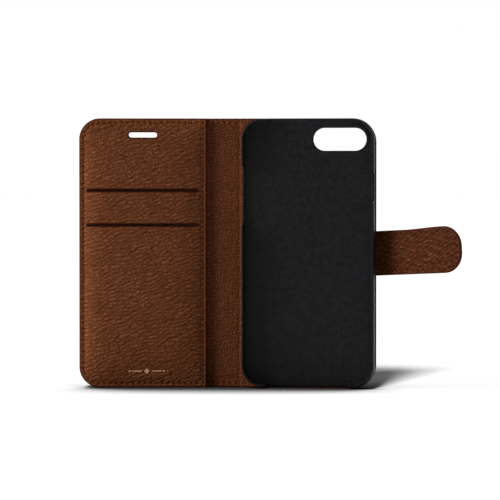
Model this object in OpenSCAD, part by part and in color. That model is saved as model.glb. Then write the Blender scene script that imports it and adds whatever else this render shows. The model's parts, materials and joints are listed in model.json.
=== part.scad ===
// Leather phone wallet case, standing open like a book on its bottom edge.
// X runs along the back cover, Y points out of its outside face, Z is up.
// Origin: middle of the back cover's bottom edge, halfway through its outer leather.
// All sizes are in millimetres.

/* [Phone] */
// Width of the phone that the shell holds
phone_w = 67.3; // [60:0.1:75]
// Height of the phone
phone_h = 138.4; // [130:0.1:160]
// Thickness of the phone
phone_t = 7.3; // [6.5:0.1:9]
// Corner radius of the phone
phone_r = 9.8; // [6:0.1:12]

/* [Shell] */
// Wall thickness of the moulded shell
shell_wall = 1.2; // [0.8:0.1:1.6]
// Floor thickness of the shell
shell_floor = 0.9; // [0.7:0.1:1.4]
// Play between the phone and the shell wall
shell_play = 0.15; // [0.05:0.05:0.3]
// How far the phone's glass stands above the shell's rim
glass_proud = 0.15; // [0:0.05:0.5]
// Width of the open stretch in the shell's top and bottom walls
end_gap_w = 45; // [30:1:48]
// Length of the camera opening
camera_l = 28; // [20:1:34]
// Height of the camera opening
camera_h = 12; // [9:0.5:16]
// Distance of the camera opening's middle from the phone's top edge
camera_drop = 9.6; // [8.5:0.1:14]
// Distance of the camera opening's middle from the phone's side edge
camera_side = 17.2; // [16.5:0.1:20]
// Height of the wall that stays below the key openings
key_sill = 2.6; // [1.5:0.1:4]
// Drop from the top edge to the lower end of the volume key opening
volume_drop = 57; // [50:1:65]
// Length of the volume key opening
volume_l = 33; // [25:1:36]
// Drop from the top edge to the lower end of the side key opening
side_key_drop = 45; // [38:1:50]
// Length of the side key opening
side_key_l = 17; // [12:1:20]

/* [Leather and boards] */
// Thickness of the outer leather
leather_t = 1.2; // [0.9:0.1:1.4]
// Thickness of the stiff boards in both covers
board_t = 0.6; // [0.4:0.1:0.8]
// Thickness of the back cover's leather lining
back_lining_t = 0.7; // [0.5:0.1:0.9]
// Thickness of the front cover's lining
front_lining_t = 0.6; // [0.4:0.1:0.7]
// Thickness of the thin stiffener in the spine
spine_board_t = 0.3; // [0.2:0.05:0.4]
// Thickness of the spine's lining
spine_lining_t = 0.6; // [0.4:0.1:0.6]
// Thickness of the adhesive film under the shell
adhesive_t = 0.15; // [0.1:0.05:0.3]

/* [Covers] */
// How far the covers reach past the shell
edge_margin = 0.45; // [0.3:0.05:2]
// How far the shell sits above the middle of the cover
shell_rise = 0.3; // [0:0.05:0.4]
// Room between the shell's side and the spine crease
crease_room = 2; // [2:0.1:3]
// Width of the front cover from its crease to its free edge
front_w = 69.2; // [66:0.1:74]
// Width of the spine between its two creases
spine_w = 15.7; // [15.2:0.1:20]
// Corner radius of the front cover
front_r = 11; // [8:0.5:13]
// Corner radius of the back cover
back_r = 12.5; // [9:0.5:13]
// Angle that the spine is turned from the back cover as the case stands
spine_rest = 5; // [0:1:20]
// Further angle from the spine to the front cover as the case stands
cover_rest = 5; // [0:1:20]

/* [Pockets] */
// Thickness of the leather card panel
panel_t = 1; // [0.8:0.1:1.2]
// Gap that takes a folded banknote behind the panel
note_gap = 0.4; // [0.3:0.1:0.6]
// Thickness of the cloth behind the upper card pocket
upper_cloth_t = 0.3; // [0.2:0.05:0.4]
// Thickness of the cloth behind the lower card pocket
lower_cloth_t = 0.25; // [0.2:0.05:0.35]
// Distance from the panel's free edge to the crease
panel_setback = 2; // [2:0.1:4]
// Drop of the upper pocket mouth below the top edge
upper_mouth = 38; // [34:0.5:46]
// Drop of the lower pocket mouth below the top edge
lower_mouth = 56.2; // [52:0.5:66]
// Length of each pocket mouth
mouth_l = 58.5; // [56:0.5:60]
// Width of each pocket mouth
mouth_w = 0.9; // [0.6:0.1:1.4]
// Distance of the mouths' left end from the free edge of the cover
mouth_side = 4.2; // [3.8:0.1:5]
// Length of the earpiece slot
earpiece_l = 15; // [10:0.5:20]
// Height of the earpiece slot
earpiece_h = 2.8; // [2:0.1:4]
// Drop of the earpiece slot's middle below the top edge
earpiece_drop = 8.7; // [7.5:0.1:12]

/* [Strap] */
// Height of the strap
strap_h = 23.4; // [18:0.1:28]
// Thickness of each of the strap's two leather layers
strap_layer_t = 1; // [0.8:0.1:1.1]
// Length from the strap's second bend to its rounded tip
tip_l = 30; // [26:0.5:34]
// Corner radius of the strap's tip
tip_r = 10; // [7:0.5:11]
// Angle that the strap swings forward from the back cover as the case stands
strap_rest = 22; // [0:1:40]
// Angle that the strap rises towards its tip
strap_rise = 3; // [0:0.5:4]
// Depth of the strap's skived end inside the back cover
anchor_l = 14; // [10:1:18]
// Radius of the disc magnet in the strap's tip
magnet_r = 6; // [4:0.5:7]
// Thickness of the disc magnet
magnet_t = 0.8; // [0.5:0.1:1]
// Radius of the steel plate in the front cover
plate_r = 8; // [6:0.5:9]

/* [Thread and foil] */
// Distance between stitches
stitch_pitch = 3.05; // [2.4:0.05:4]
// Visible length of a stitch
stitch_l = 2.3; // [1.6:0.1:2.3]
// Width of the thread
thread_w = 0.55; // [0.4:0.05:0.7]
// Height that the thread stands above the leather
thread_h = 0.2; // [0.1:0.05:0.25]
// Distance of the stitch rows from the edges
stitch_inset = 2.2; // [1.8:0.1:2.6]
// Thickness of the stamped foil
foil_t = 0.06; // [0.04:0.01:0.1]
// Overall width of the foil ornament
foil_w = 19; // [12:0.5:24]
// Distance of the foil ornament's middle from the front cover's crease
foil_drop = 33.7; // [30:0.1:40]
// Height of the foil ornament above the bottom edge
foil_z = 8.7; // [7:0.1:12]

/* [Hidden] */
$fn = 48;

// Clearance between pieces that move past each other
clear = 0.3;
// Width of the turned edge that closes each cover round its board
rim_w = 3.3;
// Distance of the boards from the edges of the covers
board_inset = 3.4;

// The shell, which is centred on x = 0
shell_w = phone_w + 2 * (shell_play + shell_wall);
shell_h = phone_h + 2 * (shell_play + shell_wall);
shell_r = phone_r + shell_play + shell_wall;
wall_h = phone_t - glass_proud;

// The covers
half_leather = leather_t / 2;
cover_h = shell_h + 2 * edge_margin;
shell_z = cover_h / 2 + shell_rise;
back_right = shell_w / 2 + edge_margin;
crease_x = -(shell_w / 2 + crease_room);
back_w = back_right - crease_x;
leather_setback = half_leather + clear;

// Depths below the middle of the outer leather, towards the inside of each cover
under_board = half_leather + board_t;
back_inside = under_board + back_lining_t;
shell_base = back_inside + adhesive_t;
shell_seat = shell_base + shell_floor;
spine_under = half_leather + spine_board_t;
spine_inside = spine_under + spine_lining_t;
front_inside = under_board + front_lining_t;
upper_cloth = front_inside + note_gap;
cloth_front = upper_cloth + upper_cloth_t;
panel_back = cloth_front + 0.5;
panel_front = panel_back + panel_t;
lower_cloth = panel_back - 0.1 - lower_cloth_t;
lining_setback = spine_inside + 0.4;

// The strap, whose first bend clears the back cover's edge even where it leans
strap_t = 2 * strap_layer_t;
strap_z = cover_h / 2;
lean = strap_h / 2 * sin(strap_rise);
strap_axis_x = back_right + clear + strap_layer_t + lean;
strap_axis_y = -half_leather;
wrap_depth = spine_w + half_leather + thread_h + clear + strap_layer_t + thread_h;
root_l = wrap_depth + strap_axis_y;
bend_gap = strap_layer_t + clear;
magnet_reach = tip_l - strap_h / 2;
plate_x = strap_axis_x - magnet_reach * cos(strap_rise) - crease_x;
plate_z = strap_z - magnet_reach * sin(strap_rise);
anchor_h = strap_h - 1;
skive_t = board_t;

// ---------- places ----------

// The spine's own frame: it runs from its first crease towards -X
module on_spine() {
    translate([crease_x, 0, 0]) rotate([0, 0, spine_rest]) children();
}

// The front cover's own frame: it runs from its crease towards -X
module on_front() {
    on_spine() translate([-spine_w, 0, 0]) rotate([0, 0, cover_rest]) children();
}

// The strap's own frame at its first bend: it runs towards +X
module on_strap_root() {
    translate([strap_axis_x, strap_axis_y, strap_z])
        rotate([0, -strap_rise, 0]) rotate([0, 0, -strap_rest]) children();
}

// The strap's own frame at its second bend
module on_strap_tip() {
    on_strap_root() translate([root_l, 0, 0]) children();
}

// ---------- outlines ----------

// A sheet cut to a flat outline: it starts at a depth below the leather's middle
module sheet(depth, thick) {
    translate([0, -depth, 0]) rotate([90, 0, 0]) linear_extrude(thick) children();
}

// Straight side at x = 0, rounded corners at x = w, bottom edge at z = 0
module cover_outline(w, h, r) {
    square([w - r, h]);
    translate([0, r]) square([w, h - 2 * r]);
    for (z = [r, h - r]) translate([w - r, z]) circle(r);
}

// The same outline, pulled in from its three outer edges and from the crease
module inset_outline(w, h, r, edge, crease) {
    translate([crease, edge]) cover_outline(w - edge - crease, h - 2 * edge, r - edge);
}

// A border of even width along the three outer edges
module rim_outline(w, h, r, width, crease) {
    difference() {
        inset_outline(w, h, r, 0, crease);
        translate([crease - 1, width]) cover_outline(w - width - crease + 1, h - 2 * width, r - width);
    }
}

module back_outline(edge, crease) {
    translate([crease_x, 0]) inset_outline(back_w, cover_h, back_r, edge, crease);
}

module front_outline(edge, crease) {
    mirror([1, 0]) inset_outline(front_w, cover_h, front_r, edge, crease);
}

// A slot with round ends, centred on its middle
module slot_outline(length, height) {
    square([length - height, height], center = true);
    for (side = [-1, 1]) translate([side * (length - height) / 2, 0]) circle(height / 2);
}

module camera_outline(grow) {
    translate([phone_w / 2 - camera_side, shell_z + phone_h / 2 - camera_drop])
        slot_outline(camera_l + 2 * grow, camera_h + 2 * grow);
}

module earpiece_outline(grow) {
    translate([-front_w / 2 - panel_setback / 2, cover_h - earpiece_drop])
        slot_outline(earpiece_l + 2 * grow, earpiece_h + 2 * grow);
}

// Rounded rectangle about the shell's middle
module shell_outline(w, h, r) {
    translate([0, shell_z]) {
        square([w - 2 * r, h], center = true);
        square([w, h - 2 * r], center = true);
        for (x = [-1, 1], z = [-1, 1]) translate([x * (w / 2 - r), z * (h / 2 - r)]) circle(r);
    }
}

module strap_tip_outline() {
    translate([0, -strap_h / 2]) cover_outline(tip_l, strap_h, tip_r);
}

// ---------- stitching ----------

// Place and direction at a distance along a cover's three outer edges: [x, z, angle]
function edge_path(s, w, h, r, inset) =
    let (side = w - r, bend = r - inset, arc = PI / 2 * bend, end = h - 2 * r)
    let (arc_1 = side + arc, arc_2 = arc_1 + end, arc_3 = arc_2 + arc)
    let (t_1 = (s - side) / bend * 180 / PI, t_2 = (s - arc_2) / bend * 180 / PI + 90)
    s < side ? [s, inset, 0]
    : s < arc_1 ? [w - r + bend * sin(t_1), r - bend * cos(t_1), t_1]
    : s < arc_2 ? [w - inset, r + s - arc_1, 90]
    : s < arc_3 ? [w - r + bend * sin(t_2), h - r - bend * cos(t_2), t_2]
    : [w - r - (s - arc_3), h - inset, 180];

function edge_length(w, h, r, inset) = 2 * (w - r) + PI * (r - inset) + h - 2 * r;

module stitch_outline() {
    square([stitch_l, thread_w], center = true);
}

// Stitches along a cover's three outer edges, from a start distance past the crease
module edge_stitches(w, h, r, inset, start) {
    run = edge_length(w, h, r, inset) - 2 * start;
    count = floor(run / stitch_pitch);
    for (i = [0 : count]) {
        at = edge_path(start + i * run / count, w, h, r, inset);
        translate([at[0], at[1]]) rotate(at[2]) stitch_outline();
    }
}

// A straight row of stitches along +X, centred on its middle
module stitch_row(length) {
    count = floor(length / stitch_pitch);
    for (i = [0 : count]) translate([(i / count - 0.5) * length, 0]) stitch_outline();
}

// ---------- back cover ----------

module back_outer_leather() color("saddlebrown") {
    difference() {
        union() {
            sheet(-half_leather, leather_t) back_outline(0, leather_setback);
            sheet(half_leather, board_t)
                translate([crease_x, 0]) rim_outline(back_w, cover_h, back_r, rim_w, lining_setback);
        }
        sheet(-leather_t, 3 * leather_t) camera_outline(0.6);
        translate([back_right - rim_w - 1, -under_board - 1, strap_z - anchor_h / 2 - 0.2])
            cube([rim_w + 2, 1 + board_t, anchor_h + 0.4]);
    }
}

module back_board() color("tan") {
    sheet(half_leather, board_t) difference() {
        back_outline(board_inset, lining_setback);
        camera_outline(1.2);
        translate([back_right - anchor_l - 0.2, strap_z - anchor_h / 2 - 0.2])
            square([anchor_l, anchor_h + 0.4]);
    }
}

module back_lining() color("sienna") {
    sheet(under_board, back_lining_t) difference() {
        back_outline(0, lining_setback);
        camera_outline(0.6);
    }
}

module shell_adhesive() color("gainsboro") {
    sheet(back_inside, adhesive_t) difference() {
        shell_outline(shell_w - 4, shell_h - 4, shell_r - 2);
        camera_outline(1.5);
    }
}

// Takes the wall down to the sill on the left (-1) or right (1) side
module key_opening(side, drop, length) {
    translate([side * shell_w / 2 - 2, -shell_seat - wall_h - 1, cover_h - drop])
        cube([4, wall_h + 1 - key_sill, length]);
}

module phone_shell() color("black") {
    difference() {
        sheet(shell_base, shell_floor + wall_h) shell_outline(shell_w, shell_h, shell_r);
        sheet(shell_seat, wall_h + 1)
            shell_outline(shell_w - 2 * shell_wall, shell_h - 2 * shell_wall, shell_r - shell_wall);
        sheet(shell_base - 1, shell_floor + 2) camera_outline(0);
        translate([-end_gap_w / 2, -shell_seat - wall_h - 1, 0])
            cube([end_gap_w, wall_h + 1, cover_h]);
        key_opening(-1, volume_drop, volume_l);
        key_opening(1, side_key_drop, side_key_l);
    }
}

module strap_anchor() color("saddlebrown") {
    translate([back_right - anchor_l, -half_leather - skive_t, strap_z - anchor_h / 2])
        cube([anchor_l - 0.1, skive_t, anchor_h]);
}

module back_stitching() color("chocolate") {
    sheet(-half_leather - thread_h, thread_h)
        translate([crease_x, 0]) edge_stitches(back_w, cover_h, back_r, stitch_inset, 3);
}

// ---------- spine ----------

module spine_sheet(depth, thick, edge, crease) {
    on_spine() sheet(depth, thick)
        translate([crease - spine_w, edge]) square([spine_w - 2 * crease, cover_h - 2 * edge]);
}

module spine_outer_leather() color("saddlebrown") {
    spine_sheet(-half_leather, leather_t, 0, leather_setback);
    for (z = [0, cover_h - rim_w])
        on_spine() sheet(half_leather, spine_board_t)
            translate([lining_setback - spine_w, z]) square([spine_w - 2 * lining_setback, rim_w]);
}

module spine_stiffener() color("tan") {
    spine_sheet(half_leather, spine_board_t, board_inset, lining_setback);
}

module spine_lining() color("sienna") {
    spine_sheet(spine_under, spine_lining_t, 0, lining_setback);
}

module spine_stitching() color("chocolate") {
    for (z = [stitch_inset, cover_h - stitch_inset], depth = [-half_leather - thread_h, spine_inside])
        on_spine() sheet(depth, thread_h)
            translate([-spine_w / 2, z]) stitch_row(spine_w - 2 * lining_setback - stitch_l);
}

// ---------- front cover ----------

module front_outer_leather() color("saddlebrown") {
    on_front() difference() {
        union() {
            sheet(-half_leather, leather_t) front_outline(0, leather_setback);
            sheet(half_leather, board_t)
                mirror([1, 0]) rim_outline(front_w, cover_h, front_r, rim_w, lining_setback);
        }
        sheet(-leather_t, 3 * leather_t) earpiece_outline(0);
    }
}

module front_board() color("tan") {
    on_front() sheet(half_leather, board_t) difference() {
        front_outline(board_inset, lining_setback);
        earpiece_outline(1);
        translate([-plate_x, plate_z]) circle(plate_r + 0.1);
    }
}

module closure_plate() color("silver") {
    on_front() translate([-plate_x, -half_leather, plate_z])
        rotate([90, 0, 0]) cylinder(r = plate_r, h = board_t);
}

module front_lining() color("sienna") {
    on_front() sheet(under_board, front_lining_t) difference() {
        front_outline(0.1, lining_setback);
        earpiece_outline(0);
    }
}

module upper_pocket_lining() color("peru") {
    on_front() difference() {
        union() {
            sheet(upper_cloth, upper_cloth_t) front_outline(0.1, panel_setback);
            sheet(front_inside, note_gap) difference() {
                front_outline(0.1, panel_setback + 0.2);
                mirror([1, 0]) translate([0, rim_w])
                    cover_outline(front_w - rim_w, cover_h - 2 * rim_w, front_r - rim_w);
            }
        }
        sheet(front_inside - 1, panel_back) earpiece_outline(0);
    }
}

// Hangs from a glued strip above the lower mouth
module lower_pocket_lining() color("peru") {
    strip_top = cover_h - lower_mouth + 8;
    on_front() {
        sheet(lower_cloth, lower_cloth_t)
            translate([-front_w + mouth_side, rim_w + 1]) square([mouth_l, strip_top - rim_w - 1]);
        sheet(lower_cloth + lower_cloth_t, 0.1)
            translate([-front_w + mouth_side, strip_top - 5]) square([mouth_l, 5]);
    }
}

module mouth_outline(drop) {
    translate([-front_w + mouth_side + mouth_l / 2, cover_h - drop]) slot_outline(mouth_l, mouth_w);
}

module card_panel() color("saddlebrown") {
    on_front() difference() {
        union() {
            sheet(panel_back, panel_t) front_outline(0, panel_setback);
            sheet(cloth_front, panel_back - cloth_front) difference() {
                front_outline(0, panel_setback);
                mirror([1, 0]) translate([panel_setback + rim_w, rim_w])
                    cover_outline(front_w - panel_setback - 2 * rim_w, cover_h - 2 * rim_w,
                        front_r - rim_w);
            }
        }
        sheet(panel_back - 1, panel_t + 2) {
            mouth_outline(upper_mouth);
            mouth_outline(lower_mouth);
        }
        sheet(panel_back - 1, panel_t + 2) earpiece_outline(0);
    }
}

module front_stitching() color("chocolate") {
    on_front() {
        sheet(-half_leather - thread_h, thread_h)
            mirror([1, 0]) edge_stitches(front_w, cover_h, front_r, stitch_inset, 3);
        sheet(panel_front, thread_h)
            mirror([1, 0]) edge_stitches(front_w, cover_h, front_r, stitch_inset, 5);
    }
}

// Closes the panel's free edge onto the cloth behind it
module panel_edge_stitching() color("chocolate") {
    on_front() sheet(panel_front, thread_h)
        translate([-panel_setback - 1.8, cover_h / 2]) rotate(90)
            stitch_row(cover_h - 4 * stitch_inset);
}

// A plain ornament: a diamond between two bars that end in dots
module foil_mark() color("rosybrown") {
    bar_l = foil_w / 2 - 4;
    on_front() sheet(panel_front, foil_t)
        translate([-foil_drop, foil_z]) {
            rotate(45) square(2, center = true);
            for (side = [-1, 1]) {
                translate([side * (2.6 + bar_l / 2), 0]) square([bar_l, 0.5], center = true);
                translate([side * (foil_w / 2 - 0.5), 0]) circle(0.5);
            }
        }
}

// ---------- strap ----------

// One leather layer's round end about a bend, on the outside (1) or inside (-1)
module layer_end(side, h) {
    intersection() {
        cylinder(r = strap_layer_t, h = h, center = true);
        translate([-strap_t, side > 0 ? 0 : -strap_t, -h]) cube([strap_t, strap_t, 2 * h]);
    }
}

module root_layer(side) {
    on_strap_root() {
        layer_end(side, strap_h);
        translate([0, side > 0 ? 0 : -strap_layer_t, -strap_h / 2])
            cube([root_l - bend_gap, strap_layer_t, strap_h]);
    }
}

module strap_root_outer() color("saddlebrown") root_layer(1);

module strap_root_lining() color("sienna") root_layer(-1);

module strap_root_stitching() color("chocolate") {
    row_l = root_l - bend_gap - stitch_l;
    for (z = [-1, 1], depth = [-strap_layer_t - thread_h, strap_layer_t])
        on_strap_root() sheet(depth, thread_h)
            translate([row_l / 2 + stitch_l / 2, z * (strap_h / 2 - stitch_inset)]) stitch_row(row_l - 1);
}

module tip_layer(side) {
    on_strap_tip() difference() {
        union() {
            layer_end(side, strap_h);
            sheet(side > 0 ? -strap_layer_t : 0, strap_layer_t) strap_tip_outline();
        }
        translate([magnet_reach, 0, 0]) rotate([90, 0, 0])
            cylinder(r = magnet_r + 0.05, h = magnet_t, center = true);
    }
}

module strap_tip_outer() color("saddlebrown") tip_layer(1);

module strap_tip_lining() color("sienna") tip_layer(-1);

module strap_magnet() color("silver") {
    on_strap_tip() translate([magnet_reach, 0, 0]) rotate([90, 0, 0])
        cylinder(r = magnet_r, h = magnet_t, center = true);
}

module strap_tip_stitching() color("chocolate") {
    for (depth = [-strap_layer_t - thread_h, strap_layer_t])
        on_strap_tip() sheet(depth, thread_h) translate([0, -strap_h / 2])
            edge_stitches(tip_l, strap_h, tip_r, stitch_inset, 2.5);
}

back_outer_leather();
back_board();
back_lining();
shell_adhesive();
phone_shell();
strap_anchor();
back_stitching();
spine_outer_leather();
spine_stiffener();
spine_lining();
spine_stitching();
front_outer_leather();
front_board();
closure_plate();
front_lining();
upper_pocket_lining();
lower_pocket_lining();
card_panel();
front_stitching();
panel_edge_stitching();
foil_mark();
strap_root_outer();
strap_root_lining();
strap_root_stitching();
strap_tip_outer();
strap_tip_lining();
strap_magnet();
strap_tip_stitching();
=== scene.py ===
"""A leather phone wallet case that stands open like a book, dressed around its CAD frame.

Lengths are in millimetres until a mesh is made. Each sheet of leather is laid out flat, with u along the
case and z up, and then bent along the case's folds. Depth is measured across a sheet, from the middle of
the outer leather towards the inside of the case.
"""

import json
import math

import bmesh
import bpy
import numpy as np
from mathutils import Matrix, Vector, geometry


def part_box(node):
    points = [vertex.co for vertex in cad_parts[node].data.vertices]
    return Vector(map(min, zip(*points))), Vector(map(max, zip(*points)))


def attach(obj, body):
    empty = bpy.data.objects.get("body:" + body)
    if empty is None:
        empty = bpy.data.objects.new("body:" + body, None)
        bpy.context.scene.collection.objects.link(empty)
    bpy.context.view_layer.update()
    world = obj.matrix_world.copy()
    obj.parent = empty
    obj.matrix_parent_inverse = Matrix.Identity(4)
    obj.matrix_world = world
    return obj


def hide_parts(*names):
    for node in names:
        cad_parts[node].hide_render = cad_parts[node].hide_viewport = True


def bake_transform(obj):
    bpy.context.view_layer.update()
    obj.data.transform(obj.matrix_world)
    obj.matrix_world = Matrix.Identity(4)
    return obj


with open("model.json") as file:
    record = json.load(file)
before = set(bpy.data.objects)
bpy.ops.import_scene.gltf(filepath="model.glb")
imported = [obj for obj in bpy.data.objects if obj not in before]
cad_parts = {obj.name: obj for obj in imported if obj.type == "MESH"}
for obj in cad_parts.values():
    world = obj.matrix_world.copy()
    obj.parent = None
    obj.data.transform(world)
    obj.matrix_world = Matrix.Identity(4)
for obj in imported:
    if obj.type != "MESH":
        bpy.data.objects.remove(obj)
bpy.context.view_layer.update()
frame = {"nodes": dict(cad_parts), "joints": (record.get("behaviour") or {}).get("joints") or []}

MM = 0.001


def node_box(name):
    low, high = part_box(name)
    return np.array(low) / MM, np.array(high) / MM


def joint_at(name):
    joint = next(j for j in frame["joints"] if j["name"] == name)
    return np.array(joint["pos_m"]) / MM


# ---------- sizes ----------

COVER_H = node_box("back_outer_leather")[1][2]
BACK_RIGHT = node_box("back_outer_leather")[1][0]
BACK_CREASE = joint_at("spine_fold")[0]
SPINE_W = float(np.linalg.norm((joint_at("cover_fold") - joint_at("spine_fold"))[:2]))
FRONT_CREASE = BACK_CREASE - SPINE_W
MID_SPINE = (BACK_CREASE + FRONT_CREASE) / 2
FRONT_W = 69.2
FRONT_EDGE = FRONT_CREASE - FRONT_W
PANEL_SETBACK = 2.0
PANEL_EDGE = FRONT_CREASE - PANEL_SETBACK
FRONT_R = 11.0
BACK_R = 12.5
SPINE_TURN = math.radians(5)
COVER_TURN = math.radians(5)
CREASE_REACH = 2.2

# Depths below the middle of the outer leather
HALF_LEATHER = 0.6
UNDER_BOARD = 1.2
BACK_INSIDE = 1.9
SPINE_UNDER = 0.9
SPINE_INSIDE = 1.5
FRONT_INSIDE = 1.8
PANEL_BACK = 3.0
PANEL_FRONT = 4.0
PANEL_BORDER_BACK = 2.5
RIM_W = 3.3

CAMERA_L = 28.0
CAMERA_H = 12.0
EARPIECE_L = 15.0
EARPIECE_H = 2.8
EARPIECE_DROP = 8.7
MOUTH_L = 58.5
MOUTH_H = 0.9
MOUTH_SIDE = 4.2
MOUTH_DROPS = (38.0, 56.2)
FOIL_Z = 8.7
FOIL_SHIFT = 1.9

STRAP_H = 23.4
STRAP_LAYER = 1.0
STRAP_AT = joint_at("strap_root_bend")
ROOT_L = float(np.linalg.norm(joint_at("strap_tip_bend") - STRAP_AT))
TIP_L = 30.0
TIP_R = 10.0
STRAP_SWING = math.radians(-22)
STRAP_RISE = math.radians(3)
STRAP_BEND_REACH = 1.6
MID_ROOT = ROOT_L / 2
STRAP_HIDDEN = -3.4
FLARE_FROM = 14.0
FLARE_RUN = 24.0

STITCH_PITCH = 3.05
STITCH_INSET = 2.2
PANEL_STITCH_INSET = 1.8
CREASE_STITCH = 1.53  # half the stitch that crosses each crease
FINE_REACH = 0.95  # how far from a stitch row a face is modelled finely


# ---------- number helpers ----------


def smooth(t):
    """Rises from 0 to 1 as t does, level at both ends."""
    t = np.clip(t, 0, 1)
    return t * t * (3 - 2 * t)


def bell(t):
    return np.exp(-t * t)


def hashed(ix, iy, seed):
    """An even random number from 0 to 1 for each whole-numbered point."""
    h = (ix * 374761393 + iy * 668265263 + seed * 974711) & 0xFFFFFFFF
    h = ((h ^ (h >> 13)) * 1274126177) & 0xFFFFFFFF
    return ((h ^ (h >> 16)) & 0xFFFFFFFF) / 0xFFFFFFFF


def noise(x, y, seed):
    """Smooth gradient noise, about -1 to 1, with features of unit size."""
    ix, iy = np.floor(x).astype(np.int64), np.floor(y).astype(np.int64)
    fx, fy = x - ix, y - iy

    def corner(dx, dy):
        angle = hashed(ix + dx, iy + dy, seed) * 2 * math.pi
        return np.cos(angle) * (fx - dx) + np.sin(angle) * (fy - dy)

    wx, wy = smooth(fx), smooth(fy)
    low = corner(0, 0) * (1 - wx) + corner(1, 0) * wx
    high = corner(0, 1) * (1 - wx) + corner(1, 1) * wx
    return 1.4 * (low * (1 - wy) + high * wy)


def cells(x, y, seed):
    """Distance from the nearest border between scattered cells, 0 on the border."""
    ix, iy = np.floor(x).astype(np.int64), np.floor(y).astype(np.int64)
    first, second = np.full(x.shape, 9.0), np.full(x.shape, 9.0)
    for dx in (-1, 0, 1):
        for dy in (-1, 0, 1):
            cx, cy = ix + dx, iy + dy
            far = np.hypot(cx + hashed(cx, cy, seed) - x, cy + hashed(cx, cy, seed + 1) - y)
            second = np.minimum(second, np.maximum(first, far))
            first = np.minimum(first, far)
    return second - first


def turned(u, z, angle):
    """The same place along and across lines that rise at an angle."""
    cosine, sine = math.cos(angle), math.sin(angle)
    return u * cosine + z * sine, z * cosine - u * sine


# ---------- grain, from 0 in the valleys to 1 on the ridges ----------

MID_GRAIN = 0.62  # the grain that lies level with its surface


def crease_family(u, z, angle, gap, seed):
    """Wandering creases that all rise at about one angle: 0 in a crease, 1 between them."""
    along, across = turned(u, z, math.radians(angle))
    phase = across / gap + 0.65 * noise(along / 10, across / 7, seed)
    phase += 0.26 * noise(along / 3.2, across / 2.0, seed + 1)
    phase += 0.06 * noise(u / 1.1, z / 1.1, seed + 2)
    between = 1 - np.abs(2 * (phase - np.floor(phase)) - 1)
    strength = 0.5 + 0.6 * noise(along / 4.6, across / 2.1, seed + 3)
    return 1 - (1 - smooth(between / 0.5)) * np.clip(0.3 + 0.7 * strength, 0, 1)


def wrinkled_grain(u, z):
    """Large soft grain: long creases that cross at a small angle and leave lens-shaped folds."""
    folds = crease_family(u, z, 4, 1.95, 61) * crease_family(u, z, 26, 2.2, 71)
    along, across = turned(u, z, math.radians(15))
    veins = smooth(cells(along / 3.6 + 40, across / 1.2 + 0.3 * noise(u / 3, z / 2, 78), 8) / 0.5)
    swell = 0.5 + 0.5 * noise(along / 4.5, across / 1.2, 9)
    return np.clip(0.75 * folds * (0.75 + 0.25 * veins) + 0.25 * swell, 0, 1)


def lining_grain(u, z):
    """Finer grain than the panel's: short wavy folds, broken up by steep creases."""
    folds = crease_family(u, z, 10, 1.7, 121) * (0.45 + 0.55 * crease_family(u, z, 72, 1.9, 131))
    swell = 0.5 + 0.5 * noise(u / 2.2, z / 1.3, 141)
    return np.clip(0.12 + 0.62 * folds + 0.26 * swell, 0, 1)


def strap_grain(s, z):
    """Fine raised lines that slant up to the right, crossed by fainter ones."""
    lines = 1 - crease_family(s, z, 29, 1.75, 91)
    crossing = 1 - crease_family(s, z, -14, 2.9, 101)
    swell = 0.5 + 0.5 * noise(s / 2.6, z / 1.9, 111)
    return np.clip(0.2 + 0.7 * lines + 0.4 * crossing + 0.3 * (swell - 0.5), 0, 1)


# ---------- flat outlines ----------


def arc(middle_u, middle_z, r, start, sweep, steps):
    """Points on a circle, from a start angle through a sweep, in degrees."""
    angles = [math.radians(start + sweep * i / steps) for i in range(steps + 1)]
    return [(middle_u + r * math.cos(a), middle_z + r * math.sin(a)) for a in angles]


class Box:
    """A rectangle whose left and right corners have their own radii."""

    def __init__(self, left, right, low, high, r_left=0.0, r_right=0.0):
        self.left, self.right, self.low, self.high = left, right, low, high
        self.r_left, self.r_right = r_left, r_right

    def distance(self, u, z):
        """Distance inside the edge, negative outside."""
        middle_u, middle_z = (self.left + self.right) / 2, (self.low + self.high) / 2
        r = np.where(u < middle_u, self.r_left, self.r_right)
        qu = np.abs(u - middle_u) - (self.right - self.left) / 2 + r
        qz = np.abs(z - middle_z) - (self.high - self.low) / 2 + r
        outside = np.hypot(np.maximum(qu, 0), np.maximum(qz, 0))
        return r - outside - np.minimum(np.maximum(qu, qz), 0)

    def loop(self, inset, spacing):
        """Points round the outline, pulled in by an inset, anticlockwise from the bottom left."""
        left, right = self.left + inset, self.right - inset
        low, high = self.low + inset, self.high - inset
        rl, rr = max(self.r_left - inset, 0), max(self.r_right - inset, 0)
        points = []
        for cu, cz, r, start in (
            (left + rl, low + rl, rl, 180),
            (right - rr, low + rr, rr, 270),
            (right - rr, high - rr, rr, 0),
            (left + rl, high - rl, rl, 90),
        ):
            steps = max(1, math.ceil(r * math.pi / 2 / spacing))
            points += arc(cu, cz, r, start, 90, steps) if r > 0 else [(cu, cz)]
        return divided(points, spacing)


class Pill:
    """A slot with round ends."""

    def __init__(self, middle_u, middle_z, length, height):
        self.u, self.z, self.r = middle_u, middle_z, height / 2
        self.reach = (length - height) / 2

    def distance(self, u, z):
        """Distance outside the slot's edge, negative in the slot."""
        return np.hypot(np.maximum(np.abs(u - self.u) - self.reach, 0), z - self.z) - self.r

    def loop(self, outset, spacing):
        r = self.r + outset
        steps = max(8, math.ceil(r * math.pi / spacing))
        right = arc(self.u + self.reach, self.z, r, -90, 180, steps)
        left = arc(self.u - self.reach, self.z, r, 90, 180, steps)
        return divided(right + left, spacing)


def stepped(a, b, spacing):
    """Points from a in even steps towards b, without b itself."""
    if math.dist(a, b) < 1e-6:
        return []
    steps = max(1, round(math.dist(a, b) / spacing))
    return [tuple(p + (q - p) * i / steps for p, q in zip(a, b)) for i in range(steps)]


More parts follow.
